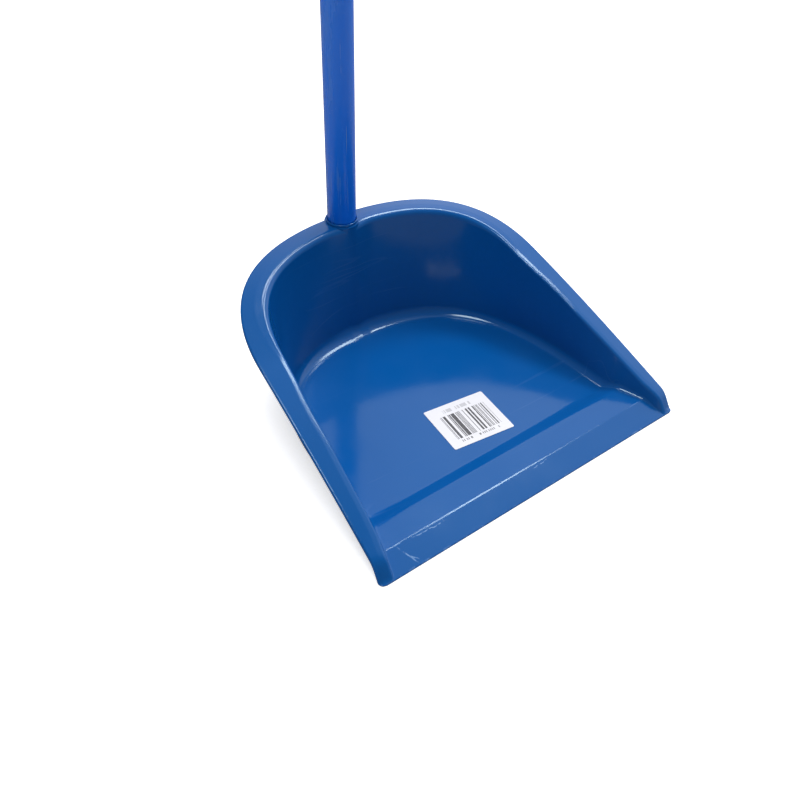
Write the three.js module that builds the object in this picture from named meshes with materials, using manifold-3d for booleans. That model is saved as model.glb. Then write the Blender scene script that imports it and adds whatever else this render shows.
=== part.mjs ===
// Long-handled dustpan: a moulded pan with a flat rim and a socket behind its back
// wall, and a round handle made of a steel tube in a plastic film, with a plug and a hanging cap.
// Millimetres, +Z up, +Y towards the back. The pan stands on z = 0 and x = 0 is its middle.
import * as THREE from 'three';
import { mergeVertices } from 'three/addons/utils/BufferGeometryUtils.js';
import Module from 'manifold-3d';

const wasm = await Module();
wasm.setup();

// ---- driving dimensions ----
// Heights in this block are above the pan's main floor, and y is measured from the lip's edge.
const FLOOR_THICK = 2.6;
const WALL_THICK = 2.4;
const LIP_HALF = 130;

const RIM_FRONT_HALF = 140.8;     // rim's outer edge, half width level with the lip
const RIM_TAPER = 0.0715;         // how much the half width loses for each mm towards the back
const RIM_STRAIGHT_END = 155;     // where the sides start to curve round to the back
const RIM_BACK = 250.8;
const RIM_SIDE_PULL = 67.9;       // lengths of the back curve's two handles
const RIM_BACK_PULL = 71.6;
const RIM_TOP = 99;
const RIM_LOW = 6.5;
const RIM_FALL = 1.29;            // how the rim's height falls from back to front
const RIM_LENGTH = 260;
const RIM_FRONT_WIDTH = 12.6;     // rim's width at the lip, where the sides end, and at the back
const RIM_CORNER_WIDTH = 20;
const RIM_BACK_WIDTH = 18.8;
const RIM_WIDENING = 1.3;         // how late along the sides the rim widens
const RIM_FOOT_ROOM = 1.9;        // least distance from the wall's foot out to the rim
const RIM_SLOPE = 0.6;
const RIM_INNER_ROUND = 6;
const RIM_OUTER_ROUND = 2.2;
const SKIRT_DROP = 3.2;
const SKIRT_THICK = 2;

const FOOT_HALF = 117.4;          // where the wall would meet the floor without its fillet
const FOOT_TAPER = 0.0125;
const FOOT_STRAIGHT_END = 75;
const FOOT_BACK = 220;
const FOOT_SIDE_PULL = 86;
const FOOT_BACK_PULL = 91.5;
const FOOT_FLARE_FROM = 49;       // forward of this the wall's foot flares out to the lip's corner
const FOOT_FLARE_POWER = 0.74;
const SIDE_FILLET = 8;
const BACK_FILLET = 12;
const LIP_FILLET = 1.5;

const LIP_DROP = -1.6;            // lip's edge, below the main floor
const CREASE_Y = 18.3;
const STEP_TOP = 39.3;
const STEP_FOOT = 48;
const STEP_RISE = 4.7;

const NOSE_SLOPE = 1.65;          // how steeply the rim's two front ends come down
const NOSE_ROUND = 4.5;
const NOSE_SOLID = 4;             // the rim's front ends are solid this far back

const HANDLE_Y = 241.6;
const HANDLE_LENGTH = 750;
const FILM_R = 11.25;
const FILM_THICK = 0.3;
const TUBE_WALL = 0.5;
const GAP = 0.3;
const SOCKET_WALL = 2.1;
const SOCKET_FLOOR = 20;          // height of the stop that the handle stands on, above the ground
const COLLAR_RISE = 1.3;
const COLLAR_WALL = 1.3;
const WEB_THICK = 2.4;            // upright web between the back wall and the socket
const WEB_LOW = 16;

const CAP_SKIRT = 32;
const CAP_WALL = 1.4;
const CAP_HEAD = 30;
const CAP_HEAD_THICK = 9;
const EYE_R = 5;
const PLUG_DEPTH = 22;
const PLUG_HEAD = 3;
const PLUG_WALL = 2;

const LABEL = { x: 4.1, y: 84.1, turn: -7.5, wide: 52.7, deep: 45.3, thick: 0.25 };

// ---- derived places ----
const GROUND = -FLOOR_THICK;
const BORE_R = FILM_R + GAP;
const SOCKET_R = BORE_R + SOCKET_WALL;
const COLLAR_R = BORE_R + COLLAR_WALL;
const TUBE_R = FILM_R - FILM_THICK - GAP;
const BACK_EDGE = HANDLE_Y + SOCKET_R;
const MIDDLE_Y = BACK_EDGE / 2;
const HANDLE_BASE = GROUND + SOCKET_FLOOR;

// ---- small maths ----
const lerp = (a, b, t) => a + (b - a) * t;
const clamp01 = (t) => Math.min(1, Math.max(0, t));

function softMin(a, b, reach) {
  const near = Math.max(reach - Math.abs(a - b), 0) / reach;
  return Math.min(a, b) - near * near * reach / 4;
}

function bezier(points, t) {
  const curve = new THREE.CubicBezierCurve(...points);
  return curve.getPoint(t);
}

// Sides run straight back from the lip, then one cubic curve closes round to the middle.
function outline(frontHalf, taper, straightEnd, back, sidePull, backPull) {
  const start = new THREE.Vector2(frontHalf - taper * straightEnd, straightEnd);
  const along = new THREE.Vector2(-taper, 1).normalize();
  const points = [
    start,
    start.clone().addScaledVector(along, sidePull),
    new THREE.Vector2(backPull, back),
    new THREE.Vector2(0, back),
  ];
  return {
    straight: (y) => new THREE.Vector2(frontHalf - taper * y, y),
    curve: (t) => bezier(points, t),
  };
}

const rimOutline = outline(
  RIM_FRONT_HALF, RIM_TAPER, RIM_STRAIGHT_END, RIM_BACK, RIM_SIDE_PULL, RIM_BACK_PULL);
const footOutline = outline(
  FOOT_HALF, FOOT_TAPER, FOOT_STRAIGHT_END, FOOT_BACK, FOOT_SIDE_PULL, FOOT_BACK_PULL);

// ---- heights ----
function floorHeight(y) {
  if (y < CREASE_Y) return lerp(LIP_DROP, STEP_RISE, y / CREASE_Y);
  return STEP_RISE * clamp01((STEP_FOOT - y) / (STEP_FOOT - STEP_TOP));
}

function rimCurveHeight(y) {
  return RIM_TOP - (RIM_TOP - RIM_LOW) * Math.pow(Math.max(0, 1 - y / RIM_LENGTH), RIM_FALL);
}

function innerRimHeight(y) {
  const ramp = LIP_DROP + NOSE_SLOPE * (y - 0.6);
  return Math.max(softMin(rimCurveHeight(y), ramp, 4), floorHeight(y) + 0.3);
}

function outerRimHeight(y) {
  const ramp = LIP_DROP + NOSE_SLOPE * (y - 3.4);
  return Math.max(softMin(rimCurveHeight(y) - RIM_SLOPE, ramp, 4), LIP_DROP - 0.2);
}

// ---- plan positions ----
// How far the rim's outer edge is rounded in, seen from above, near its front end.
function noseCut(y) {
  const reach = Math.max(0, NOSE_ROUND - y);
  return NOSE_ROUND - Math.sqrt(NOSE_ROUND * NOSE_ROUND - reach * reach);
}

function footCurveParameter(y) {
  let low = 0;
  let high = 1;
  for (let i = 0; i < 40; i++) {
    const middle = (low + high) / 2;
    if (footOutline.curve(middle).y < y) low = middle;
    else high = middle;
  }
  return low;
}

function footSide(y) {
  if (y < FOOT_FLARE_FROM) {
    const flare = 1 - Math.pow(y / FOOT_FLARE_FROM, FOOT_FLARE_POWER);
    return new THREE.Vector2(lerp(footOutline.straight(FOOT_FLARE_FROM).x, LIP_HALF, flare), y);
  }
  if (y <= FOOT_STRAIGHT_END) return footOutline.straight(y);
  return footOutline.curve(footCurveParameter(y));
}

// A station is one upright cut through the pan's wall, from the wall's foot to the rim's edge.
function makeStation(foot, rim, centre, filletRadius, width) {
  const reach = rim.clone().sub(foot);
  const across = reach.clone().normalize();
  return {
    foot, across, centre, filletRadius,
    y: rim.y,
    outerEdge: reach.length() - noseCut(rim.y),
    innerEdge: Math.max(reach.length() - width, RIM_FOOT_ROOM),
  };
}

function sideStation(y) {
  const nearLip = clamp01(y / CREASE_Y);
  const widened = Math.pow(y / RIM_STRAIGHT_END, RIM_WIDENING);
  return makeStation(footSide(y), rimOutline.straight(y), new THREE.Vector2(0, y),
    lerp(LIP_FILLET, SIDE_FILLET, nearLip), lerp(RIM_FRONT_WIDTH, RIM_CORNER_WIDTH, widened));
}

function curveStation(t, footStart) {
  const rim = rimOutline.curve(t);
  const foot = footOutline.curve(lerp(footStart, 1, t));
  return makeStation(foot, rim, new THREE.Vector2(0, RIM_STRAIGHT_END),
    lerp(SIDE_FILLET, BACK_FILLET, t), lerp(RIM_CORNER_WIDTH, RIM_BACK_WIDTH, t));
}

function rightHandStations(curveSteps) {
  const sides = [0, 0.6, 1.8, 3.9, NOSE_SOLID + 0.2, 6, 8, 10.5, 14, CREASE_Y, 24, 31,
    STEP_TOP, 44, STEP_FOOT, 60, FOOT_STRAIGHT_END, 92, 112, 134];
  const stations = sides.map(sideStation);
  const footStart = footCurveParameter(RIM_STRAIGHT_END);
  for (let i = 0; i <= curveSteps; i++) stations.push(curveStation(i / curveSteps, footStart));
  return stations;
}

// ---- one closed cut of the shell ----
// Corners are (distance out from the wall's foot, height, rounding radius, rounding steps).
function sectionCorners(station) {
  const { y, outerEdge, innerEdge, filletRadius } = station;
  const inside = -station.foot.distanceTo(station.centre);
  const floor = floorHeight(station.foot.y);
  const under = Math.max(floor - FLOOR_THICK, GROUND);
  const innerTop = innerRimHeight(y);
  const outerTop = outerRimHeight(y);
  const skirtEnd = Math.max(outerTop - SKIRT_DROP, GROUND);
  const lean = Math.min(innerEdge / (innerTop - floor), 0.6);
  const wallOuter = (z) => Math.min((z - floor) * lean, innerEdge) + WALL_THICK;
  const solid = y < NOSE_SOLID;
  const flangeUnder = solid ? under : Math.max(outerTop - WALL_THICK, under);
  const wallUnder = solid ? under : Math.max(innerTop - WALL_THICK, under);
  const skirtInner = Math.max(outerEdge - SKIRT_THICK, innerEdge + WALL_THICK);
  return [
    [inside, floor, 0, 0],
    [0, floor, filletRadius, 4],
    [innerEdge, innerTop, RIM_INNER_ROUND, 4],
    [outerEdge, outerTop, RIM_OUTER_ROUND, 3],
    [outerEdge, skirtEnd, 0, 0],
    [skirtInner, skirtEnd, 0, 0],
    [skirtInner, flangeUnder, 0, 0],
    [Math.min(wallOuter(wallUnder), skirtInner), wallUnder, 0, 0],
    [solid ? -filletRadius : wallOuter(under), under, filletRadius + WALL_THICK, 3],
    [inside, under, 0, 0],
  ];
}

function roundCorner(before, corner, after, radius, steps) {
  const c = new THREE.Vector2(corner[0], corner[1]);
  const toBefore = new THREE.Vector2(before[0], before[1]).sub(c);
  const toAfter = new THREE.Vector2(after[0], after[1]).sub(c);
  const room = 0.45 * Math.min(toBefore.length(), toAfter.length());
  const a = toBefore.normalize();
  const b = toAfter.normalize();
  const half = Math.acos(THREE.MathUtils.clamp(a.dot(b), -1, 1)) / 2;
  const reach = Math.min(radius / Math.tan(half), room);
  const start = c.clone().addScaledVector(a, reach);
  const end = c.clone().addScaledVector(b, reach);
  const bend = new THREE.QuadraticBezierCurve(start, c, end);
  return bend.getPoints(steps);
}

function sectionPoints(station) {
  const corners = sectionCorners(station);
  const points = [];
  corners.forEach((corner, i) => {
    if (corner[3] === 0) {
      points.push(new THREE.Vector2(corner[0], corner[1]));
      return;
    }
    points.push(...roundCorner(corners[i - 1], corner, corners[i + 1], corner[2], corner[3]));
  });
  return points;
}

function placeSection(station, side) {
  return sectionPoints(station).map((p, i, all) => {
    const onCentre = i === 0 || i === all.length - 1;
    const plan = onCentre ? station.centre
      : station.foot.clone().addScaledVector(station.across, p.x);
    return new THREE.Vector3(side * plan.x, plan.y, p.y);
  });
}

// ---- meshes and solids ----
function trianglesToGeometry(positions) {
  const geometry = new THREE.BufferGeometry();
  geometry.setAttribute('position', new THREE.Float32BufferAttribute(positions, 3));
  return mergeVertices(geometry, 1e-4);
}

function toManifold(geometry) {
  const plain = geometry.clone();
  plain.deleteAttribute('normal');
  plain.deleteAttribute('uv');
  const welded = mergeVertices(plain, 1e-4);
  const index = welded.index.array;
  const kept = [];
  for (let i = 0; i < index.length; i += 3) {
    const [a, b, c] = [index[i], index[i + 1], index[i + 2]];
    if (a !== b && b !== c && c !== a) kept.push(a, b, c);
  }
  return new wasm.Manifold(new wasm.Mesh({
    numProp: 3,
    vertProperties: Float32Array.from(welded.attributes.position.array),
    triVerts: Uint32Array.from(kept),
  }));
}

function toGeometry(solid) {
  const mesh = solid.getMesh();
  const geometry = new THREE.BufferGeometry();
  geometry.setAttribute('position', new THREE.BufferAttribute(mesh.vertProperties, 3));
  geometry.setIndex(new THREE.BufferAttribute(mesh.triVerts, 1));
  geometry.computeVertexNormals();
  return geometry;
}

function pushTriangle(list, a, b, c) {
  list.push(a.x, a.y, a.z, b.x, b.y, b.z, c.x, c.y, c.z);
}

// Fills a cut by stepping outwards along its upper and lower edges in turn.
function pushFrontCap(list, section, side) {
  const out = (point) => side * point.x;
  let upper = 0;
  let lower = section.length - 1;
  while (upper + 1 < lower) {
    const stepUpper = out(section[upper + 1]) <= out(section[lower - 1]);
    const next = stepUpper ? upper + 1 : lower - 1;
    const [b, c] = side > 0 ? [lower, next] : [next, lower];
    pushTriangle(list, section[upper], section[b], section[c]);
    if (stepUpper) upper = next;
    else lower = next;
  }
}

function shellGeometry() {
  const stations = rightHandStations(22);
  const triangles = [];
  for (const side of [1, -1]) {
    const sections = stations.map((station) => placeSection(station, side));
    for (let i = 0; i + 1 < sections.length; i++) {
      const [near, far] = side > 0 ? [sections[i], sections[i + 1]]
        : [sections[i + 1], sections[i]];
      for (let j = 0; j + 1 < near.length; j++) {
        pushTriangle(triangles, near[j], near[j + 1], far[j + 1]);
        pushTriangle(triangles, near[j], far[j + 1], far[j]);
      }
    }
    pushFrontCap(triangles, sections[0], side);
  }
  return trianglesToGeometry(triangles);
}

// A turned solid on the handle's axis, from (radius, height) pairs.
function turned(profile, segments = 40) {
  const points = profile.map(([r, z]) => new THREE.Vector2(r, z));
  const geometry = new THREE.LatheGeometry(points, segments);
  geometry.rotateX(Math.PI / 2);
  return geometry;
}

function onHandleAxis(geometry) {
  geometry.translate(0, HANDLE_Y, 0);
  return geometry;
}

function cylinder(radius, low, high, segments = 40) {
  return onHandleAxis(turned([[0, low], [radius, low], [radius, high], [0, high]], segments));
}

// The upright web follows the back wall's slope on one side and enters the socket on the other.
function socketWeb() {
  const high = RIM_TOP - 4;
  const inWall = (z) => lerp(FOOT_BACK, RIM_BACK - RIM_BACK_WIDTH, z / RIM_TOP) + WALL_THICK / 2;
  const inSocket = HANDLE_Y - BORE_R - SOCKET_WALL / 2;
  const outlinePoints = [
    new THREE.Vector2(inWall(WEB_LOW), WEB_LOW),
    new THREE.Vector2(inSocket, WEB_LOW),
    new THREE.Vector2(inSocket, high),
    new THREE.Vector2(Math.min(inWall(high), inSocket - 0.2), high),
  ];
  const web = new THREE.ExtrudeGeometry(new THREE.Shape(outlinePoints), {
    depth: WEB_THICK, bevelEnabled: false,
  });
  web.rotateX(Math.PI / 2);
  web.rotateZ(Math.PI / 2);
  web.translate(-WEB_THICK / 2, 0, 0);
  return web;
}

// ---- the pieces ----
function panGeometry() {
  const flangeTop = RIM_TOP - RIM_SLOPE / 2;
  const collarTop = flangeTop + COLLAR_RISE;
  const collar = turned([
    [0, flangeTop - 2], [COLLAR_R, flangeTop - 2], [COLLAR_R, collarTop - 0.5],
    [COLLAR_R - 0.5, collarTop], [0, collarTop],
  ]);
  const bore = cylinder(BORE_R, HANDLE_BASE - GAP, collarTop + 5);
  const solid = toManifold(shellGeometry())
    .add(toManifold(cylinder(SOCKET_R, GROUND, flangeTop)))
    .add(toManifold(socketWeb()))
    .add(toManifold(onHandleAxis(collar)))
    .subtract(toManifold(bore));
  return toGeometry(solid);
}

function tubeGeometry() {
  const low = HANDLE_BASE + PLUG_HEAD + GAP;
  const high = HANDLE_BASE + HANDLE_LENGTH;
  const inner = TUBE_R - TUBE_WALL;
  return onHandleAxis(turned([
    [inner, low], [TUBE_R, low], [TUBE_R, high], [inner, high], [inner, low],
  ], 24));
}

function filmGeometry() {
  const low = HANDLE_BASE + PLUG_HEAD + GAP;
  const high = HANDLE_BASE + HANDLE_LENGTH - CAP_SKIRT;
  const inner = FILM_R - FILM_THICK;
  return onHandleAxis(turned([
    [inner, low], [FILM_R, low], [FILM_R, high], [inner, high], [inner, low],
  ], 32));
}

function plugGeometry() {
  const low = HANDLE_BASE;
  const stem = TUBE_R - TUBE_WALL - GAP;
  return onHandleAxis(turned([
    [0, low], [FILM_R - 1, low], [FILM_R, low + 1], [FILM_R, low + PLUG_HEAD],
    [stem, low + PLUG_HEAD], [stem - 0.6, low + PLUG_DEPTH],
    [stem - PLUG_WALL, low + PLUG_DEPTH], [stem - PLUG_WALL, low + PLUG_HEAD],
    [0, low + PLUG_HEAD],
  ], 24));
}

function capHead(top) {
  const half = FILM_R + CAP_WALL;
  const shape = new THREE.Shape();
  shape.moveTo(-half, 0);
  shape.lineTo(half, 0);
  shape.lineTo(half * 0.8, CAP_HEAD - half * 0.8);
  shape.absarc(0, CAP_HEAD - half * 0.8, half * 0.8, 0, Math.PI, false);
  shape.closePath();
  const eye = new THREE.Path();
  eye.absarc(0, CAP_HEAD - half * 0.8, EYE_R, 0, Math.PI * 2, true);
  shape.holes.push(eye);
  const head = new THREE.ExtrudeGeometry(shape, {
    depth: CAP_HEAD_THICK, bevelEnabled: false, curveSegments: 14,
  });
  head.rotateX(Math.PI / 2);
  head.translate(0, CAP_HEAD_THICK / 2, top);
  return onHandleAxis(head);
}

function capGeometry() {
  const top = HANDLE_BASE + HANDLE_LENGTH + GAP;
  const low = top - CAP_SKIRT;
  const outer = FILM_R + CAP_WALL;
  const inner = TUBE_R + GAP;
  const sleeve = turned([
    [inner, low], [outer - 0.6, low], [outer, low + 1], [outer, top + 1], [outer - 1.5, top + 3],
    [0, top + 3], [0, top], [inner, top], [inner, low],
  ], 32);
  const solid = toManifold(onHandleAxis(sleeve)).add(toManifold(capHead(top + 1)));
  return toGeometry(solid);
}

function labelGeometry() {
  const geometry = new THREE.BoxGeometry(LABEL.wide, LABEL.deep, LABEL.thick);
  geometry.rotateZ(THREE.MathUtils.degToRad(LABEL.turn));
  geometry.translate(LABEL.x, LABEL.y, LABEL.thick / 2 + 0.05);
  return geometry;
}

function piece(name, geometry, color, roughness, metalness = 0) {
  const material = new THREE.MeshStandardMaterial({ color, roughness, metalness });
  const mesh = new THREE.Mesh(geometry, material);
  mesh.name = name;
  return mesh;
}

const dustpan = new THREE.Group();
dustpan.add(
  piece('pan', panGeometry(), 0x12489a, 0.32),
  piece('print_label', labelGeometry(), 0xe8e8ec, 0.7),
  piece('handle_tube', tubeGeometry(), 0x9a9ca0, 0.4, 1),
  piece('handle_film', filmGeometry(), 0x12489a, 0.35),
  piece('tube_plug', plugGeometry(), 0x16181c, 0.5),
  piece('hanging_cap', capGeometry(), 0x12489a, 0.35),
);
dustpan.position.set(0, -MIDDLE_Y, FLOOR_THICK);
dustpan.updateMatrixWorld(true);

export default dustpan;
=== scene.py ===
"""A long-handled dustpan: its finished surfaces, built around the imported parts. Metres, +Z up."""

import math

import bmesh
import bpy
from bpy.props import FloatProperty, FloatVectorProperty, IntProperty, PointerProperty
from mathutils import Matrix, Vector


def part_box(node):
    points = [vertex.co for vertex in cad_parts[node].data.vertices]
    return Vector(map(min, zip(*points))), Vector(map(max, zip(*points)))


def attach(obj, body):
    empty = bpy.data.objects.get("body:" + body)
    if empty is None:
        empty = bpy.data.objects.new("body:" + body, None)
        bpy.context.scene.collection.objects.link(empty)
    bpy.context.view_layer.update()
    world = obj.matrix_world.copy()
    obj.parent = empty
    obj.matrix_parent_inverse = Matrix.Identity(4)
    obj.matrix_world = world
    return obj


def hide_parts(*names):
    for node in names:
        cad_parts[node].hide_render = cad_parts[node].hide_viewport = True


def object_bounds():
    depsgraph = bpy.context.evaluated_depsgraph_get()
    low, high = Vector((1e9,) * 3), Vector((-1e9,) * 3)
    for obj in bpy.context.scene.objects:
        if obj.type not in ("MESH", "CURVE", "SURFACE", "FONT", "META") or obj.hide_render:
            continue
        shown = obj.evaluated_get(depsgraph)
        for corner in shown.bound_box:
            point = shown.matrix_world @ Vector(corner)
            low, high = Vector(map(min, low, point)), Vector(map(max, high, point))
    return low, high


bl_info = {
    "name": "Long-Handled Dustpan",
    "version": (1, 0, 0),
    "blender": (4, 5, 0),
    "location": "3D View > Sidebar > Dustpan",
    "description": "Builds a moulded dustpan, its printed label, its handle and a plain stage",
    "category": "Add Mesh",
}

MM = 0.001

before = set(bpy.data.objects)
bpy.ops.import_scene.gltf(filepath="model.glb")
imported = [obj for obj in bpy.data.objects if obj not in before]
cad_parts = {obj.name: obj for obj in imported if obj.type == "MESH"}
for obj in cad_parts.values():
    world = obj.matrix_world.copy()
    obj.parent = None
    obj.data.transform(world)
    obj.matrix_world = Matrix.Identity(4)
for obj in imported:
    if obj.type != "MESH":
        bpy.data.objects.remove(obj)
CAD_LOW, CAD_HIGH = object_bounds()
PAN_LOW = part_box("pan")[0]
FILM_LOW, FILM_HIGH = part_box("handle_film")
TUBE_LOW, TUBE_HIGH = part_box("handle_tube")
PLUG_LOW, PLUG_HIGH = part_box("tube_plug")
CAP_LOW, CAP_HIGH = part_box("hanging_cap")
LABEL_LOW, LABEL_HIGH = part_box("print_label")
HANDLE_AXIS = (FILM_LOW + FILM_HIGH) / 2
FILM_RADIUS = (FILM_HIGH.x - FILM_LOW.x) / 2
TUBE_RADIUS = (TUBE_HIGH.x - TUBE_LOW.x) / 2
CAP_RADIUS = (CAP_HIGH.x - CAP_LOW.x) / 2
LABEL_MIDDLE = (LABEL_LOW + LABEL_HIGH) / 2


# ---- settings ----
def length(name, description, millimetres):
    return FloatProperty(
        name=name, description=description, default=millimetres * MM, unit="LENGTH", precision=5
    )


def number(name, description, default):
    return FloatProperty(name=name, description=description, default=default, precision=4)


def count(name, description, default):
    return IntProperty(name=name, description=description, default=default, min=1)


def turn(name, description, degrees):
    return FloatProperty(
        name=name, description=description, default=math.radians(degrees), unit="ROTATION"
    )


def colour(name, description, default):
    return FloatVectorProperty(
        name=name, description=description, default=default, size=3, subtype="COLOR",
        min=0.0, max=1.0,
    )


class PanSizes(bpy.types.PropertyGroup):
    """Sizes of the moulded pan. y runs back from the lip's edge and heights start at the floor."""

    floor_thick: length("Floor thickness", "Thickness of the pan's floor", 2.6)
    wall_thick: length("Wall thickness", "Thickness of the wall and the rim", 2.4)
    lip_half: length("Lip half width", "Half the width of the front lip", 130)
    rim_front_half: length("Rim half width", "Half width over the rim at the lip", 140.8)
    rim_taper: number("Rim taper", "Half width lost for each metre towards the back", 0.0715)
    rim_straight: length("Rim sides", "How far back the rim's sides stay straight", 155)
    rim_back: length("Rim back", "How far back the rim's outer edge reaches", 250.8)
    rim_side_pull: length("Rim side pull", "How slowly the side turns into the back", 67.9)
    rim_back_pull: length("Rim back pull", "How flat the back is", 71.6)
    rim_top: length("Rim height", "Height of the rim at the back", 99)
    rim_low: length("Rim low end", "Height that the rim's line falls to at the lip", 6.5)
    rim_fall: number("Rim fall", "How bowed the falling rim's line is", 1.29)
    rim_reach: length("Rim fall length", "Length over which the rim falls", 260)
    rim_front_width: length("Rim front width", "Width of the rim at the lip", 12.6)
    rim_corner_width: length("Rim corner width", "Width of the rim where the sides end", 20)
    rim_back_width: length("Rim back width", "Width of the rim at the back", 18.8)
    rim_widening: number("Rim widening", "How late along the sides the rim widens", 1.3)
    rim_foot_room: length("Rim foot room", "Least distance from foot to rim", 1.9)
    ridge_in: length("Ridge", "Distance from the rim's inner corner to its ridge", 4.3)
    ridge_rise: length("Ridge rise", "Rise of the ridge at the sides", 0.3)
    ridge_round: length("Ridge rounding", "Rounding of the ridge", 8)
    side_tilt: length("Side tilt", "Further drop of the rim's outer edge at the sides", 0.5)
    rim_slope: length("Rim slope", "Drop of the rim from its inner to its outer edge", 0.6)
    rim_crown: length("Rim crown", "Rise in the middle of the rim's width", 0.35)
    inner_round: length("Inner rounding", "Rounding from the wall to the rim", 6)
    outer_round: length("Outer rounding", "Rounding from the rim to its skirt", 2.2)
    skirt_drop: length("Skirt depth", "Depth of the rim's turned-down edge", 3.2)
    skirt_thick: length("Skirt thickness", "Thickness of the turned-down edge", 2)
    foot_half: length("Foot half width", "Half width at the wall's foot", 117.4)
    foot_taper: number("Foot taper", "Half width lost for each metre to the back", 0.0125)
    foot_straight: length("Foot sides", "How far back the wall's foot stays straight", 75)
    foot_back: length("Foot back", "How far back the wall's foot reaches", 220)
    foot_side_pull: length("Foot side pull", "How slowly the foot turns at the sides", 86)
    foot_back_pull: length("Foot back pull", "How flat the foot is at the back", 91.5)
    flare_from: length("Flare start", "Forward of this the foot flares to the lip", 49)
    flare_power: number("Flare bow", "How bowed the flare is", 1.09)
    side_fillet: length("Side fillet", "Rounding from the floor to the side walls", 7)
    back_fillet: length("Back fillet", "Rounding from the floor to the back wall", 12)
    lip_fillet: length("Lip fillet", "Rounding at the lip's corners", 1.5)
    lip_drop: length("Lip drop", "Height of the lip's edge, below the floor", -1.6)
    crease_y: length("Crease", "Distance of the crease from the lip's edge", 18.3)
    step_top_y: length("Step top", "Distance of the step's upper edge", 38.4)
    step_foot_y: length("Step foot", "Distance of the step's foot", 49.8)
    step_rise: length("Step rise", "Height of the step above the floor", 4.7)
    nose_slope: number("Nose slope", "How steeply the rim's front ends come down", 1.65)
    nose_round: length("Nose rounding", "Rounding of the front ends, from above", 4.5)
    nose_solid: length("Nose solid", "Length of the rim's solid front ends", 4)
    front_round: length("Front rounding", "Rounding of the front edges", 0.3)


class SocketSizes(bpy.types.PropertyGroup):
    """Sizes of the socket behind the back wall, which holds the handle."""

    gap: length("Running gap", "Gap round the handle", 0.3)
    wall: length("Socket wall", "Thickness of the socket", 2.1)
    collar_wall: length("Collar width", "Width of the collar on the rim", 1.3)
    collar_rise: length("Collar rise", "Height of the collar above the rim", 1.3)
    web_thick: length("Web thickness", "Thickness of the web to the back wall", 2.4)
    web_low: length("Web start", "Height where the web starts", 16)


class HandleSizes(bpy.types.PropertyGroup):
    """Sizes of the handle's film, plug and cap."""

    film_thick: length("Film thickness", "Thickness of the film round the tube", 0.3)
    tube_wall: length("Tube wall", "Thickness of the tube", 0.5)
    plug_head: length("Plug head", "Height of the plug's head", 3)
    head_thick: length("Head thickness", "Thickness of the cap's flat head", 9)
    eye_radius: length("Eye radius", "Radius of the hole to hang it by", 5)
    segments: count("Segments", "Faces round the handle", 96)


class LabelSizes(bpy.types.PropertyGroup):
    """Size and place of the printed label."""

    wide: length("Width", "Width of the label", 52.7)
    deep: length("Depth", "Depth of the label", 45.3)
    turned: turn("Turn", "How far the label is turned", -7.5)
    corner: length("Corner rounding", "Rounding of the label's corners", 1.2)


class Finish(bpy.types.PropertyGroup):
    """Colours of the materials."""

    plastic: colour("Plastic", "Blue of the moulded plastic", (0.0015, 0.091, 0.345))
    # This pale colour also serves as the painted highlight along the pan's crease.
    plastic_light: colour("Light plastic", "Plastic whitened by wear", (0.20, 0.36, 0.66))
    film: colour("Film", "Blue of the handle's film", (0.002, 0.175, 0.86))
    # This pale colour also serves as the painted glints of highlight on the handle.
    film_light: colour("Scuffed film", "Film whitened by scuffs", (0.17, 0.34, 0.56))
    paper: colour("Paper", "Ground of the label", (0.80, 0.80, 0.85))
    ink: colour("Ink", "Print on the label", (0.022, 0.022, 0.03))
    steel: colour("Steel", "Steel of the tube", (0.56, 0.57, 0.58))
    plug: colour("Plug", "Plastic of the tube's plug", (0.018, 0.019, 0.022))
    floor: colour("Stage floor", "Pale floor of the stage", (0.80, 0.80, 0.80))


class StageSettings(bpy.types.PropertyGroup):
    """The camera and lights."""

    azimuth: turn("Azimuth", "Direction that the camera looks from", -38.85)
    elevation: turn("Elevation", "Height of the camera above the horizon", 41.74)
    roll: turn("Roll", "Tilt of the camera about its line of sight", 1.74)
    distance: length("Distance", "Distance from the camera to what it aims at", 685.4)
    aim_side: length("Aim sideways", "Aim point's distance from the pan's middle", -32.2)
    aim_back: length("Aim back", "Aim point's distance back from the lip", 122.2)
    aim_up: length("Aim height", "Aim point's height over the pan's floor", 11.7)
    lens: number("Lens", "Focal length in millimetres", 41.0)
    sky_low: number("Surround", "Brightness of most of the surround", 0.16)
    sky_high: number("Surround at the right", "Brightness of the surround's bright side", 1.2)
    strip: number("Strip softbox", "Power of the strip light at the right, in watts", 16.0)
    overhead: number("Overhead softbox", "Power of the light overhead, in watts", 20.0)
    side: number("Side softbox", "Power of the small light behind, in watts", 5.0)


# ---- small maths ----
STRAIGHT_ON = math.radians(89.7)
SHARE_OF_RUN = 0.45
TINY = 1e-6


def mix(a, b, t):
    return a + (b - a) * t


def clamp01(t):
    return min(1.0, max(0.0, t))


def soft_min(a, b, reach):
    near = max(reach - abs(a - b), 0.0) / reach
    return min(a, b) - near * near * reach / 4


def soft_max(a, b, reach):
    return -soft_min(-a, -b, reach)


def spread(start, stop, step):
    """Even steps from start up to, and not including, stop."""
    steps = max(1, round((stop - start) / step))
    return [mix(start, stop, i / steps) for i in range(steps)]


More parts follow.
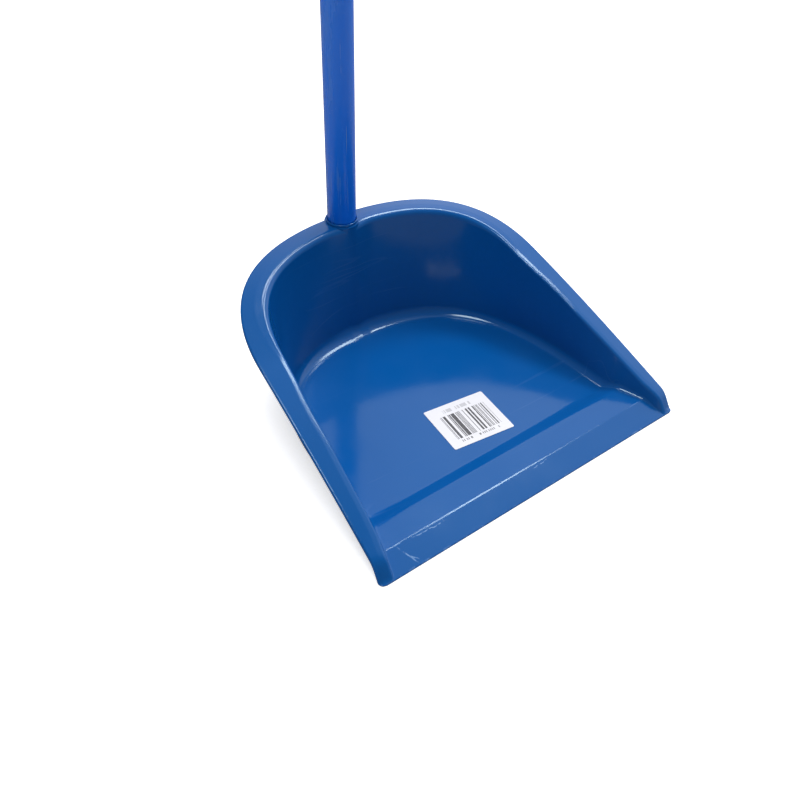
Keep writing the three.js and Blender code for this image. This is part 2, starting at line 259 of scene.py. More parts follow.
def fillet(before, corner, after, radius, steps, support=0.4 * MM):
    """Points of a round corner, with one more on each straight run close to it."""
    a, b = (before - corner), (after - corner)
    if min(a.length, b.length) < TINY:
        return [corner.copy() for _ in range(steps + 3)]
    room = SHARE_OF_RUN * min(a.length, b.length)
    a.normalize()
    b.normalize()
    half = a.angle(b) / 2
    if half > STRAIGHT_ON:
        shifts = [mix(-0.2, 0.2, i / (steps + 2)) * room for i in range(steps + 3)]
        return [corner + (b * shift if shift > 0 else a * -shift) for shift in shifts]
    reach = min(radius / max(math.tan(half), TINY), room)
    centre = corner + (a + b).normalized() * (reach / math.cos(half))
    start, end = corner + a * reach - centre, corner + b * reach - centre
    sweep = math.atan2(start.x * end.y - start.y * end.x, start.dot(end))
    arc = []
    for i in range(steps + 1):
        turn_to = sweep * i / steps
        cos, sin = math.cos(turn_to), math.sin(turn_to)
        arc.append(centre + Vector((start.x * cos - start.y * sin, start.x * sin + start.y * cos)))
    extra = min(support, 0.4 * (room - reach) + 0.02 * MM)
    return [arc[0] + a * extra, *arc, arc[-1] + b * extra]


def trace(corners):
    """Points of a profile of corners: (out, height) is sharp, (out, height, rounding, steps) round."""
    places = [Vector(corner[:2]) for corner in corners]
    points = []
    for i, corner in enumerate(corners):
        if len(corner) == 2:
            points.append(places[i])
            continue
        before, after = places[i - 1], places[(i + 1) % len(places)]
        points += fillet(before, places[i], after, *corner[2:])
    return points


# ---- the pan's shape ----
CREASE_BEND = 0.22 * MM
STEP_BEND = 0.8 * MM
RIM_BEND = 4 * MM
INNER_RIM_START = 0.6 * MM
OUTER_RIM_START = 3.4 * MM
RIM_OVER_FLOOR = 0.3 * MM
RIM_UNDER_LIP = 0.2 * MM
BULGE_REACH = 13 * MM
BULGE_ROOM = 0.65 * MM
SPINE = 45 * MM
SKIRT_EDGE = 0.45 * MM
FLAT_RIDGE = 30 * MM
TALL_WALL = 20 * MM
MOST_LEAN = 0.6
SIDE_TURN = 0.3


class Outline:
    """One side of a D seen from above: straight from the lip, then one cubic curve to the back."""

    def __init__(self, front_half, taper, straight, back, side_pull, back_pull):
        self.front_half, self.taper, self.straight = front_half, taper, straight
        start = self.side(straight)
        along = Vector((-taper, 1.0)).normalized()
        self.points = (
            start, start + along * side_pull, Vector((back_pull, back)), Vector((0.0, back))
        )

    def side(self, y):
        return Vector((self.front_half - self.taper * y, y))

    def curve(self, t):
        a, b, c, d = self.points
        u = 1 - t
        return a * u**3 + b * (3 * u * u * t) + c * (3 * u * t * t) + d * t**3

    def parameter(self, y):
        low, high = 0.0, 1.0
        for _ in range(40):
            middle = (low + high) / 2
            if self.curve(middle).y < y:
                low = middle
            else:
                high = middle
        return low


def rim_outline(s):
    return Outline(
        s.rim_front_half, s.rim_taper, s.rim_straight, s.rim_back, s.rim_side_pull, s.rim_back_pull
    )


def foot_outline(s):
    return Outline(
        s.foot_half, s.foot_taper, s.foot_straight, s.foot_back, s.foot_side_pull,
        s.foot_back_pull,
    )


def floor_height(s, y):
    lip = mix(s.lip_drop, s.step_rise, y / s.crease_y)
    step = s.step_rise * (s.step_foot_y - y) / (s.step_foot_y - s.step_top_y)
    hump = soft_min(soft_min(lip, s.step_rise, CREASE_BEND), step, STEP_BEND)
    return hump if y < s.step_top_y else soft_max(hump, 0.0, STEP_BEND)


def rim_line(s, y):
    return s.rim_top - (s.rim_top - s.rim_low) * max(0.0, 1 - y / s.rim_reach) ** s.rim_fall


def inner_rim_height(s, y):
    ramp = s.lip_drop + s.nose_slope * (y - INNER_RIM_START)
    return max(soft_min(rim_line(s, y), ramp, RIM_BEND), floor_height(s, y) + RIM_OVER_FLOOR)


def outer_rim_height(s, y):
    ramp = s.lip_drop + s.nose_slope * (y - OUTER_RIM_START)
    line = rim_line(s, y) - s.rim_slope
    return max(soft_min(line, ramp, RIM_BEND), s.lip_drop - RIM_UNDER_LIP)


def nose_cut(s, y):
    reach = max(0.0, s.nose_round - y)
    return s.nose_round - math.sqrt(s.nose_round**2 - reach**2)


def foot_side(s, outline, y):
    """Where the side wall's foot is. Near the lip it flares out to the lip's corner."""
    if y < s.flare_from:
        flare = 1 - (y / s.flare_from) ** s.flare_power
        return Vector((mix(outline.side(s.flare_from).x, s.lip_half, flare), y))
    if y <= s.foot_straight:
        return outline.side(y)
    return outline.curve(outline.parameter(y))


class Station:
    """One upright cut through the pan, from its middle line over the wall to the rim's edge."""

    def __init__(self, s, foot, rim, centre, fillet_radius, width, turn=0.0, boss=None):
        reach = rim - foot
        self.foot, self.centre, self.fillet = foot, centre, fillet_radius
        self.y, self.turn = rim.y, turn
        self.across = reach.normalized()
        self.outer = reach.length - nose_cut(s, rim.y)
        self.inner = max(reach.length - width, s.rim_foot_room)
        if boss:
            self.inner -= self.bulge(*boss)

    def bulge(self, radius, axis_y):
        """How far the rim's inner edge comes forward round the handle's socket."""
        edge = self.foot + self.across * self.inner
        most = max(0.0, edge.y - (axis_y - radius) - BULGE_ROOM)
        return most * math.exp(-((edge.x / BULGE_REACH) ** 2))


def side_stretches(s):
    """(start, step) of each stretch of the straight side: finer where the floor bends."""
    return [
        (0.0, 0.8 * MM), (12 * MM, 1.4 * MM), (s.crease_y - 2 * MM, 0.35 * MM),
        (s.crease_y + 2 * MM, 3 * MM), (s.step_top_y - 2 * MM, 0.5 * MM),
        (s.step_top_y + 2 * MM, 1.4 * MM), (s.step_foot_y - 2 * MM, 0.5 * MM),
        (s.step_foot_y + 2 * MM, 5 * MM), (s.rim_straight, None),
    ]


def right_hand_stations(s, boss):
    rim, foot = rim_outline(s), foot_outline(s)
    stretches = side_stretches(s)
    fillet_from, fillet_over = 0.6 * s.crease_y, 2.2 * s.crease_y
    stations = []
    for (start, step), (stop, _) in zip(stretches, stretches[1:]):
        for y in spread(start, stop, step):
            radius = mix(s.lip_fillet, s.side_fillet, clamp01((y - fillet_from) / fillet_over))
            middle = Vector((0.0, y))
            widened = (y / s.rim_straight) ** s.rim_widening
            width = mix(s.rim_front_width, s.rim_corner_width, widened)
            stations.append(Station(s, foot_side(s, foot, y), rim.side(y), middle, radius, width))
    first = foot.parameter(s.rim_straight)
    for t in [*spread(0.0, 0.92, 0.02), *spread(0.92, 1.0, 0.005), 1.0]:
        middle = Vector((0.0, s.rim_straight + SPINE * t))
        radius = mix(s.side_fillet, s.back_fillet, t)
        width = mix(s.rim_corner_width, s.rim_back_width, t)
        ends = foot.curve(mix(first, 1.0, t)), rim.curve(t)
        stations.append(Station(s, *ends, middle, radius, width, t, boss))
    return stations


def section(s, station):
    """Points of one closed cut through the shell: over the top, round the skirt and back below."""
    y, outer, inner = station.y, station.outer, station.inner
    inside = -(station.foot - station.centre).length
    floor = floor_height(s, station.foot.y)
    ground = -s.floor_thick
    under = max(floor - s.floor_thick, ground)
    inner_top, outer_top = inner_rim_height(s, y), outer_rim_height(s, y)
    skirt_end = max(outer_top - s.skirt_drop, ground)
    lean = min(inner / (inner_top - floor), MOST_LEAN)
    solid = y < s.nose_solid

    def behind(z):
        return min((z - floor) * lean, inner) + s.wall_thick

    rim_under = under if solid else max(outer_top - s.wall_thick, under)
    wall_under = under if solid else max(inner_top - s.wall_thick, under)
    skirt_inner = max(outer - s.skirt_thick, inner + s.wall_thick)
    tall = clamp01((inner_top - floor) / TALL_WALL)
    sideways = clamp01(1 - station.turn / SIDE_TURN) ** 1.5 * tall
    outer_top -= s.side_tilt * sideways
    ridge = mix(mix(inner, outer, 0.5), min(inner + s.ridge_in, mix(inner, outer, 0.6)), sideways)
    ridge_top = mix(inner_top, outer_top, (ridge - inner) / (outer - inner))
    ridge_top += mix(s.rim_crown * tall, s.ridge_rise + s.side_tilt * 0.4, sideways)
    ridge_round = mix(FLAT_RIDGE, s.ridge_round, sideways**0.25)
    corners = [
        (inside, floor),
        (0.0, floor, station.fillet, 10),
        (inner, inner_top, s.inner_round, 12),
        (ridge, ridge_top, ridge_round, 4),
        (outer, outer_top, s.outer_round, 8),
        (outer, skirt_end, SKIRT_EDGE, 2),
        (skirt_inner, skirt_end, SKIRT_EDGE, 2),
        (skirt_inner, rim_under),
        (min(behind(wall_under), skirt_inner), wall_under),
        (-station.fillet if solid else behind(under), under, station.fillet + s.wall_thick, 8),
        (inside, under),
    ]
    return trace(corners)


def placed_section(s, station, side):
    """The cut's points in the frame's coordinates."""
    points = section(s, station)
    last = len(points) - 1
    placed = []
    for i, p in enumerate(points):
        plan = station.centre if i in (0, last) else station.foot + station.across * p.x
        placed.append(to_frame(s, Vector((side * plan.x, plan.y, p.y))))
    return placed


def to_frame(s, point):
    """From the pan's own places, lip's edge and floor, to the frame's coordinates."""
    return point + Vector((0.0, PAN_LOW.y, PAN_LOW.z + s.floor_thick))


# ---- mesh helpers ----
SHARP_ANGLE = math.radians(38.0)
WELD_DISTANCE = 0.002 * MM
TINY_EDGE = 0.001 * MM


def loft(bm, rows):
    """Draws the first row as a chain of edges, then pulls the chain through the other rows."""
    chain = [bm.verts.new(point) for point in rows[0]]
    edges = [bm.edges.new(pair) for pair in zip(chain, chain[1:])]
    for row in rows[1:]:
        made = set(bmesh.ops.extrude_edge_only(bm, edges=edges)["geom"])
        ahead = []
        for vert, place in zip(chain, row):
            pulled = next(e.other_vert(vert) for e in vert.link_edges if e.other_vert(vert) in made)
            pulled.co = place
            ahead.append(pulled)
        edges = [bm.edges.get(pair) for pair in zip(ahead, ahead[1:])]
        chain = ahead


def pull_faces(bm, faces, reach):
    """Extrudes faces along a vector."""
    made = bmesh.ops.extrude_face_region(bm, geom=faces)["geom"]
    moved = [part for part in made if isinstance(part, bmesh.types.BMVert)]
    bmesh.ops.translate(bm, verts=moved, vec=reach)


def round_edges(bm, edges, radius, segments):
    bmesh.ops.bevel(
        bm, geom=edges, offset=radius, offset_type="OFFSET", segments=segments, profile=0.5,
        affect="EDGES", clamp_overlap=True, material=-1,
    )


def finish_mesh(bm, name):
    """Turns a bmesh into an object with smooth faces and sharp edges."""
    bmesh.ops.recalc_face_normals(bm, faces=bm.faces)
    mesh = bpy.data.meshes.new(name)
    bm.to_mesh(mesh)
    bm.free()
    shade(mesh)
    piece = bpy.data.objects.new(name, mesh)
    bpy.context.scene.collection.objects.link(piece)
    return piece


def shade(mesh):
    mesh.shade_smooth()
    mesh.set_sharp_from_angle(angle=SHARP_ANGLE)


def weld(bm):
    bmesh.ops.remove_doubles(bm, verts=bm.verts, dist=WELD_DISTANCE)


def turned(name, profile, segments, closed=True):
    """Spins a profile of (radius, height) points round the handle's axis."""
    bm = bmesh.new()
    verts = [bm.verts.new((p[0], 0.0, p[1])) for p in profile]
    pairs = list(zip(verts, verts[1:]))
    if closed:
        pairs.append((verts[-1], verts[0]))
    edges = [bm.edges.new(pair) for pair in pairs]
    bmesh.ops.spin(
        bm, geom=[*verts, *edges], cent=(0, 0, 0), axis=(0, 0, 1), angle=math.tau,
        steps=segments, use_merge=True,
    )
    weld(bm)
    bmesh.ops.translate(bm, verts=bm.verts, vec=(HANDLE_AXIS.x, HANDLE_AXIS.y, 0.0))
    return finish_mesh(bm, name)


def join_solids(base, additions, cuts):
    """Adds and cuts other solids, then keeps only the result."""
    for operation, others in (("UNION", additions), ("DIFFERENCE", cuts)):
        for other in others:
            modifier = base.modifiers.new(operation, "BOOLEAN")
            modifier.operation = operation
            modifier.solver = "EXACT"
            modifier.object = other
    evaluated = base.evaluated_get(bpy.context.evaluated_depsgraph_get())
    result = bpy.data.meshes.new_from_object(evaluated)
    base.modifiers.clear()
    base.data = result
    shade(result)
    for other in [*additions, *cuts]:
        bpy.data.objects.remove(other)
    return base


def dress(piece, material, body, slot, *nodes):
    """Gives a finished piece its material and its body, and hides the imported node that it stands
    for.
    """
    piece.data.materials.clear()
    piece.data.materials.append(material)
    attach(piece, body)
    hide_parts(*nodes)
    return piece


# ---- node helpers ----
class Wiring:
    """Short ways to add and link nodes in one tree."""

    def __init__(self, tree):
        self.tree = tree

    def put(self, socket, value):
        if isinstance(value, bpy.types.NodeSocket):
            self.tree.links.new(value, socket)
        elif value is not None:
            socket.default_value = value

    def math(self, operation, a, b=None, c=None, clamp=False):
        node = self.tree.nodes.new("ShaderNodeMath")
        node.operation = operation
        node.use_clamp = clamp
        for socket, value in zip(node.inputs, (a, b, c)):
            self.put(socket, value)
        return node.outputs[0]

    def chain(self, operation, values, clamp=False):
        total = values[0]
        for value in values[1:-1]:
            total = self.math(operation, total, value)
        return self.math(operation, total, values[-1], clamp=clamp)

    def times(self, *values, clamp=False):
        return self.chain("MULTIPLY", values, clamp)

    def most(self, *values):
        return self.chain("MAXIMUM", values)

    def noise(self, vector, scale, detail=3.0, roughness=0.5, distortion=0.0):
        node = self.tree.nodes.new("ShaderNodeTexNoise")
        self.put(node.inputs["Vector"], vector)
        self.put(node.inputs["Scale"], scale)
        node.inputs["Detail"].default_value = detail
        node.inputs["Roughness"].default_value = roughness
        node.inputs["Distortion"].default_value = distortion
        return node.outputs["Fac"]

    def mapping(self, vector, location=(0, 0, 0), rotation=(0, 0, 0), scale=(1, 1, 1)):
        node = self.tree.nodes.new("ShaderNodeMapping")
        self.put(node.inputs["Vector"], vector)
        node.inputs["Location"].default_value = location
        node.inputs["Rotation"].default_value = rotation
        node.inputs["Scale"].default_value = scale
        return node.outputs[0]

    def remap(self, value, low, high, to_low=0.0, to_high=1.0):
        node = self.tree.nodes.new("ShaderNodeMapRange")
        node.interpolation_type = "SMOOTHSTEP"
        for name, v in (
            ("Value", value), ("From Min", low), ("From Max", high),
            ("To Min", to_low), ("To Max", to_high),
        ):
            self.put(node.inputs[name], v)
        return node.outputs[0]

    def spots(self, vector, scale, detail, low, high, roughness=0.5):
        """A mask of soft spots: 0 where the noise is under low, 1 where it is over high."""
        return self.remap(self.noise(vector, scale, detail, roughness), low, high)

    def blend(self, amount, a, b):
        node = self.tree.nodes.new("ShaderNodeMix")
        node.data_type = "RGBA"
        self.put(node.inputs[0], amount)
        self.put(node.inputs[6], a)
        self.put(node.inputs[7], b)
        return node.outputs[2]

    def split(self, vector):
        node = self.tree.nodes.new("ShaderNodeSeparateXYZ")
        self.put(node.inputs[0], vector)
        return node.outputs

    def bump(self, height, strength, distance, normal=None):
        node = self.tree.nodes.new("ShaderNodeBump")
        self.put(node.inputs["Height"], height)
        node.inputs["Strength"].default_value = strength
        node.inputs["Distance"].default_value = distance
        self.put(node.inputs["Normal"], normal)
        return node.outputs[0]

    def use(self, effect, vector, **values):
        """Places a shared effect with its own values, and gives its one output."""
        node = self.tree.nodes.new("ShaderNodeGroup")
        node.node_tree = effect()
        self.put(node.inputs["Vector"], vector)
        for name, value in values.items():
            self.put(node.inputs[name.replace("_", " ")], value)
        return node.outputs[0]


def rgba(rgb, shade=1.0):
    return (*(part * shade for part in rgb), 1.0)


def new_material(name):
    """A node material, its wiring, its shader and the object's own coordinates."""
    material = bpy.data.materials.new(name)
    material.use_nodes = True
    wires = Wiring(material.node_tree)
    shader = material.node_tree.nodes["Principled BSDF"]
    places = material.node_tree.nodes.new("ShaderNodeTexCoord").outputs["Object"]
    return material, wires, shader, places


def surface(w, shader, colour, roughness, normal):
    """Links what changes over a surface to its shader."""
    for name, value in (("Base Color", colour), ("Roughness", roughness), ("Normal", normal)):
        w.put(shader.inputs[name], value)


# ---- shared surface effects ----
def shared_effect(name, output, **inputs):
    """Turns a function that wires an effect into one that gives its node group, built once."""

    def decorate(wire_up):
        def group():
            if name in bpy.data.node_groups:
                return bpy.data.node_groups[name]
            tree = bpy.data.node_groups.new(name, "ShaderNodeTree")
            sockets = tree.interface
            sockets.new_socket("Vector", in_out="INPUT", socket_type="NodeSocketVector")
            for socket, value in inputs.items():
                made = sockets.new_socket(
                    socket.replace("_", " "), in_out="INPUT", socket_type="NodeSocketFloat"
                )
                made.default_value = value
            sockets.new_socket(output, in_out="OUTPUT", socket_type="NodeSocketFloat")
            result = wire_up(Wiring(tree), tree.nodes.new("NodeGroupInput").outputs)
            tree.links.new(result, tree.nodes.new("NodeGroupOutput").inputs[output])
            return tree

        return group

    return decorate


@shared_effect("hairline scratches", "Mask", Scale=30.0, Amount=0.5, Width=0.012)
def hairline_scratches(w, given):
    """Sparse straight scratches in three directions: the mask is 1 on a scratch."""
    place = given["Vector"]
    lines = []
    for i, angle in enumerate((17, 78, 131)):
        turned_to = w.mapping(
            place, (0.13 * i, 0.07 * i, 0), (0, 0, math.radians(angle)), (0.06, 1.0, 1.0)
        )
        field = w.noise(turned_to, given["Scale"], 2.0, 0.6, 0.15)
        offset = w.math("ABSOLUTE", w.math("SUBTRACT", field, 0.5 + 0.03 * i))
        line = w.remap(offset, given["Width"], 0.0)
        lines.append(w.times(line, w.spots(turned_to, 9.0 + 3 * i, 1.0, 0.56, 0.66)))
    patches = w.spots(place, 23.0, 2.0, 0.42, 0.62)
    return w.times(w.most(*lines), patches, given["Amount"], clamp=True)


@shared_effect("moulded waviness", "Height", Wave_Scale=14.0, Skin_Scale=900.0, Skin=0.02)
def moulded_waviness(w, given):
    """Slow waves of a thin moulding and the fine skin of its tool, as a height."""
    waves = w.noise(given["Vector"], given["Wave Scale"], 1.0, 0.35)
    skin = w.noise(given["Vector"], given["Skin Scale"], 2.0, 0.6)
    return w.math("MULTIPLY_ADD", skin, given["Skin"], waves)


@shared_effect("whitening and highlight line", "Mask", Fold_Y=0.0, Width=0.001, Breaks=60.0, Amount=1.0)
def whitening_and_highlight_line(w, given):
    """Broken pale line along a straight fold at a given Y, for folds that run along X: stress
    whitening, and on the pan's crease also a painted highlight.
    """
    place = given["Vector"]
    wander = w.times(w.math("SUBTRACT", w.noise(place, 45.0, 3.0, 0.6), 0.5), 0.002)
    line = w.math("ADD", w.split(place)[1], wander)
    apart = w.math("ABSOLUTE", w.math("SUBTRACT", line, given["Fold Y"]))
    near = w.remap(apart, given["Width"], 0.0)
    along = w.mapping(place, scale=(1.0, 0.15, 0.15))
    breaks = w.spots(along, given["Breaks"], 4.0, 0.5, 0.66, 0.65)
    return w.times(near, breaks, given["Amount"], clamp=True)


@shared_effect("settled dust", "Mask", Scale=700.0, Amount=0.3)
def settled_dust(w, given):
    """Fine pale specks, as a mask."""
    specks = w.spots(given["Vector"], given["Scale"], 1.0, 0.70, 0.78)
    patches = w.spots(given["Vector"], 18.0, 3.0, 0.4, 0.7)
    return w.times(specks, patches, given["Amount"], clamp=True)


# ---- materials ----
def moulded_blue(finish, s):
    """Glossy moulded plastic with wear on the lip, and a pale line on the crease that is partly stress
    whitening and partly a painted highlight.
    """
    material, w, shader, places = new_material("moulded_blue")
    x, y, _ = w.split(places)
    crease = PAN_LOW.y + s.crease_y
    scratches = w.use(hairline_scratches, places, Scale=26.0, Amount=0.8, Width=0.010)
    lip_scuffs = w.use(hairline_scratches, places, Scale=60.0, Amount=1.0, Width=0.022)
    on_lip = w.remap(y, crease + 6 * MM, crease - 2 * MM)
    # Pale line along the crease: partly stress whitening, partly a painted highlight, laid on
    # strongest towards the left end where the highlight falls.
    fold = w.use(whitening_and_highlight_line, places, Fold_Y=crease, Width=0.45 * MM, Breaks=75.0, Amount=0.9)
    towards_left = w.remap(x, -30 * MM, -85 * MM, 0.35, 1.0)
    on_floor = w.math("LESS_THAN", w.math("ABSOLUTE", x), s.lip_half - 4.5 * MM)
    edge = w.use(
        whitening_and_highlight_line, places, Fold_Y=PAN_LOW.y, Width=1.3 * MM, Breaks=110.0, Amount=0.5
    )
    dust = w.use(settled_dust, places, Scale=800.0, Amount=0.25)
    # The pale marks: wear on the lip, scratches, dust, and the painted highlight along the crease.
    pale_marks = w.most(
        w.times(fold, towards_left, on_floor), edge, w.times(lip_scuffs, on_lip, 0.7),
        w.times(scratches, 0.10), w.times(bend_marks(w, places, crease), on_lip),
        w.times(dust, 0.35),
    )
    bloom = w.spots(places, 9.0, 3.0, 0.35, 0.7, 0.55)
    plain, pale = rgba(finish.plastic), rgba(finish.plastic_light)
    tint = w.blend(w.times(bloom, 0.02), plain, pale)
    sheen = w.remap(w.noise(places, 30.0, 4.0, 0.6), 0.3, 0.7, 0.09, 0.15)
    waves = w.use(moulded_waviness, places, Wave_Scale=16.0, Skin_Scale=1100.0, Skin=0.012)
    slow = w.bump(waves, 0.6, 1.0 * MM)
    surface(
        w, shader, w.blend(w.times(pale_marks, 0.75), tint, pale),
        w.math("MULTIPLY_ADD", pale_marks, 0.35, sheen, clamp=True),
        w.bump(pale_marks, 0.25, -0.06 * MM, slow),
    )
    shader.inputs["IOR"].default_value = 1.49
    shader.inputs["Specular Tint"].default_value = (0.74, 0.94, 1.0, 1.0)
    return material


def bend_marks(w, places, crease):
    """Short whitened bends across the lip's left end and nicks beside the crease."""
    x, y, _ = w.split(places)
    wander = w.times(w.math("SUBTRACT", w.noise(places, 160.0, 3.0), 0.5), 3 * MM)
    broken = w.spots(places, 320.0, 3.0, 0.38, 0.56)
    marks = []
    for side, before_crease, slope, half, width in (
        (-112.8, 9.3, -2.26, 3.9, 0.90), (-110.0, 12.5, -0.9, 2.6, 0.50),
        (-90.0, 1.9, -0.055, 15, 0.24), (12.0, 2.4, 0.06, 9, 0.18),
    ):
        along = w.math("SUBTRACT", x, side * MM)
        line = w.math("MULTIPLY_ADD", along, slope, crease - before_crease * MM)
        off = w.math("ADD", w.math("SUBTRACT", y, line), wander)
        near = w.remap(w.math("ABSOLUTE", off), width * 2.2 * MM, 0.0)
        inside = w.remap(w.math("ABSOLUTE", along), half * MM, half * 0.5 * MM)
        marks.append(w.times(near, inside, broken))
    return w.most(*marks)


def handle_film(finish):
    """Thin film on a tube: lengthwise streaks, clouds, scuffs and small dents, and painted lengthwise
    glints of highlight.
    """
    material, w, shader, places = new_material("handle_film")
    centred = w.mapping(places, (-HANDLE_AXIS.x, -HANDLE_AXIS.y, 0.0))
    long_way = w.mapping(centred, scale=(1.0, 1.0, 0.035))
    thin_way = w.mapping(centred, (0.31, 0.17, 0.0), scale=(1.0, 1.0, 0.022))
    streaks = w.spots(long_way, 260.0, 4.0, 0.48, 0.72, 0.6)
    bands = w.spots(long_way, 95.0, 2.0, 0.40, 0.68)
    patches = w.spots(w.mapping(centred, scale=(1, 1, 0.25)), 60.0, 4.0, 0.50, 0.68)
    clouds = w.spots(w.mapping(centred, scale=(1, 1, 0.14)), 48.0, 5.0, 0.44, 0.72, 0.6)
    # Painted highlight: thin pale lengthwise glints that stand in for the shine along the tube.
    glints = w.spots(thin_way, 330.0, 2.0, 0.665, 0.71, 0.4)
    marks = w.use(hairline_scratches, centred, Scale=70.0, Amount=1.0, Width=0.03)
    dust = w.use(settled_dust, centred, Scale=650.0, Amount=0.5)
    # The pale mask: streaks, clouds, scratches, dust and the painted glints.
    pale = w.most(
        w.times(streaks, patches, 0.6), w.times(clouds, 0.30), w.times(marks, 0.10),
        w.times(dust, 0.4), w.times(bands, 0.06), w.times(glints, 0.9),
    )
    ripple = w.bump(w.noise(long_way, 120.0, 3.0), 0.35, 0.35 * MM)
    surface(
        w, shader, w.blend(pale, rgba(finish.film), rgba(finish.film_light)),
        w.math("MULTIPLY_ADD", pale, 0.35, 0.24, clamp=True),
        w.bump(w.math("ADD", streaks, marks), 0.3, 0.05 * MM, ripple),
    )
    shader.inputs["IOR"].default_value = 1.5
    return material


def printed_paper(finish, label):
    """Coated paper with a plain pattern of bars, a row of ticks and a grey line over them."""
    material, w, shader, places = new_material("printed_paper")
    local = w.tree.nodes.new("ShaderNodeMapping")
    local.vector_type = "TEXTURE"
    w.put(local.inputs["Vector"], places)
    local.inputs["Location"].default_value = LABEL_MIDDLE
    local.inputs["Rotation"].default_value = (0, 0, label.turned)
    x, y, _ = w.split(local.outputs[0])

    def printed(left, right, low, high, pitch, seed, bare):
        """A block in millimetres whose upright strips are each inked or left bare."""
        inside = w.times(
            w.math("GREATER_THAN", x, left * MM), w.math("LESS_THAN", x, right * MM),
            w.math("GREATER_THAN", y, low * MM), w.math("LESS_THAN", y, high * MM),
        )
        chance = w.tree.nodes.new("ShaderNodeTexWhiteNoise")
        chance.noise_dimensions = "1D"
        strip = w.math("FLOOR", w.math("DIVIDE", x, pitch * MM))
        w.put(chance.inputs["W"], w.math("ADD", strip, seed))
        return w.times(inside, w.math("GREATER_THAN", chance.outputs["Value"], bare))

    bars = printed(-18.5, 20.5, -14.5, 11.5, 0.52, 23.0, 0.50)
    ticks = printed(-19.5, 19.5, -18.3, -16.2, 0.75, 4.0, 0.60)
    line = printed(-13.0, 11.5, 14.2, 17.8, 0.90, 2.0, 0.45)
    speckle = w.remap(w.noise(places, 1500.0, 2.0), 0.3, 0.75, 1.0, 0.86)
    ink = w.times(w.most(bars, w.times(ticks, 0.8), w.times(line, 0.35)), speckle)
    grubby = w.remap(w.noise(places, 60.0, 4.0, 0.6), 0.45, 0.75, 0.0, 0.10)
    paper = w.blend(grubby, rgba(finish.paper), rgba(finish.paper, 0.6))
    fibres = w.bump(w.noise(places, 420.0, 4.0, 0.65), 0.12, 0.05 * MM)
    surface(
        w, shader, w.blend(ink, paper, rgba(finish.ink)),
        w.remap(speckle, 0.86, 1.0, 0.36, 0.5),
        w.bump(w.noise(places, 48.0, 2.0), 0.3, 0.3 * MM, fibres),
    )
    return material


def rolled_steel(finish):
    """Bare rolled steel of the tube."""
    material, w, shader, places = new_material("rolled_steel")
    grain = w.noise(w.mapping(places, scale=(1.0, 1.0, 0.02)), 900.0, 4.0, 0.6)
    stain = w.times(w.spots(places, 80.0, 4.0, 0.45, 0.7), 0.4)
    surface(
        w, shader, w.blend(stain, rgba(finish.steel), rgba(finish.steel, 0.55)),
        w.remap(grain, 0.3, 0.7, 0.28, 0.45), w.bump(grain, 0.2, 0.03 * MM),
    )
    shader.inputs["Metallic"].default_value = 1.0
    return material


def plug_black(finish):
    """Dull black plastic of the plug."""
    material, w, shader, places = new_material("plug_black")
    scuffs = w.use(hairline_scratches, places, Scale=90.0, Amount=1.0, Width=0.03)
    skin = w.use(moulded_waviness, places, Wave_Scale=60.0, Skin_Scale=2200.0, Skin=0.5)
    pale = rgba([part + 0.06 for part in finish.plug])
    surface(
        w, shader, w.blend(scuffs, rgba(finish.plug), pale),
        w.math("MULTIPLY_ADD", scuffs, 0.2, 0.42), w.bump(skin, 0.2, 0.08 * MM),
    )
    return material


def cap_blue(finish):
    """Moulded plastic of the hanging cap."""
    material, w, shader, places = new_material("cap_blue")
    scuffs = w.use(hairline_scratches, places, Scale=55.0, Amount=1.0, Width=0.02)
    dust = w.use(settled_dust, places, Scale=800.0, Amount=0.4)
    pale_marks = w.most(w.times(scuffs, 0.4), w.times(dust, 0.3))
    skin = w.use(moulded_waviness, places, Wave_Scale=40.0, Skin_Scale=1500.0, Skin=0.03)
    surface(
        w, shader, w.blend(pale_marks, rgba(finish.plastic), rgba(finish.plastic_light)),
        w.math("MULTIPLY_ADD", pale_marks, 0.3, 0.24), w.bump(skin, 0.3, 0.3 * MM),
    )
    return material


def pale_floor(finish):
    """Matt pale paper of the stage, toned down where polished surfaces mirror it."""
    material, w, shader, places = new_material("pale_floor")
    tone = w.remap(w.noise(places, 350.0, 3.0), 0.2, 0.8, 0.0, 0.02)
    paper = w.blend(tone, rgba(finish.floor), rgba(finish.floor, 0.9))
    path = w.tree.nodes.new("ShaderNodeLightPath").outputs
    mirrored = w.blend(path["Is Glossy Ray"], paper, rgba(finish.floor, 0.35))
    w.put(shader.inputs["Base Color"], mirrored)
    glow = w.blend(path["Is Camera Ray"], (0.0, 0.0, 0.0, 1.0), (1.0, 1.0, 1.0, 1.0))
    w.put(shader.inputs["Emission Color"], glow)
    shader.inputs["Emission Strength"].default_value = 0.65
    shader.inputs["Roughness"].default_value = 0.85
    shader.inputs["Specular IOR Level"].default_value = 0.1
    return material


# ---- pieces ----
FIT_GAP = 0.3 * MM
FLOOR_GAP = 0.2 * MM
FLOOR_HALF = 6.0
BRIGHT_SIDE = Vector((0.8, 0.25, 0.5)).normalized()
LIT_POINT = Vector((0.0, 0.0, 0.05))


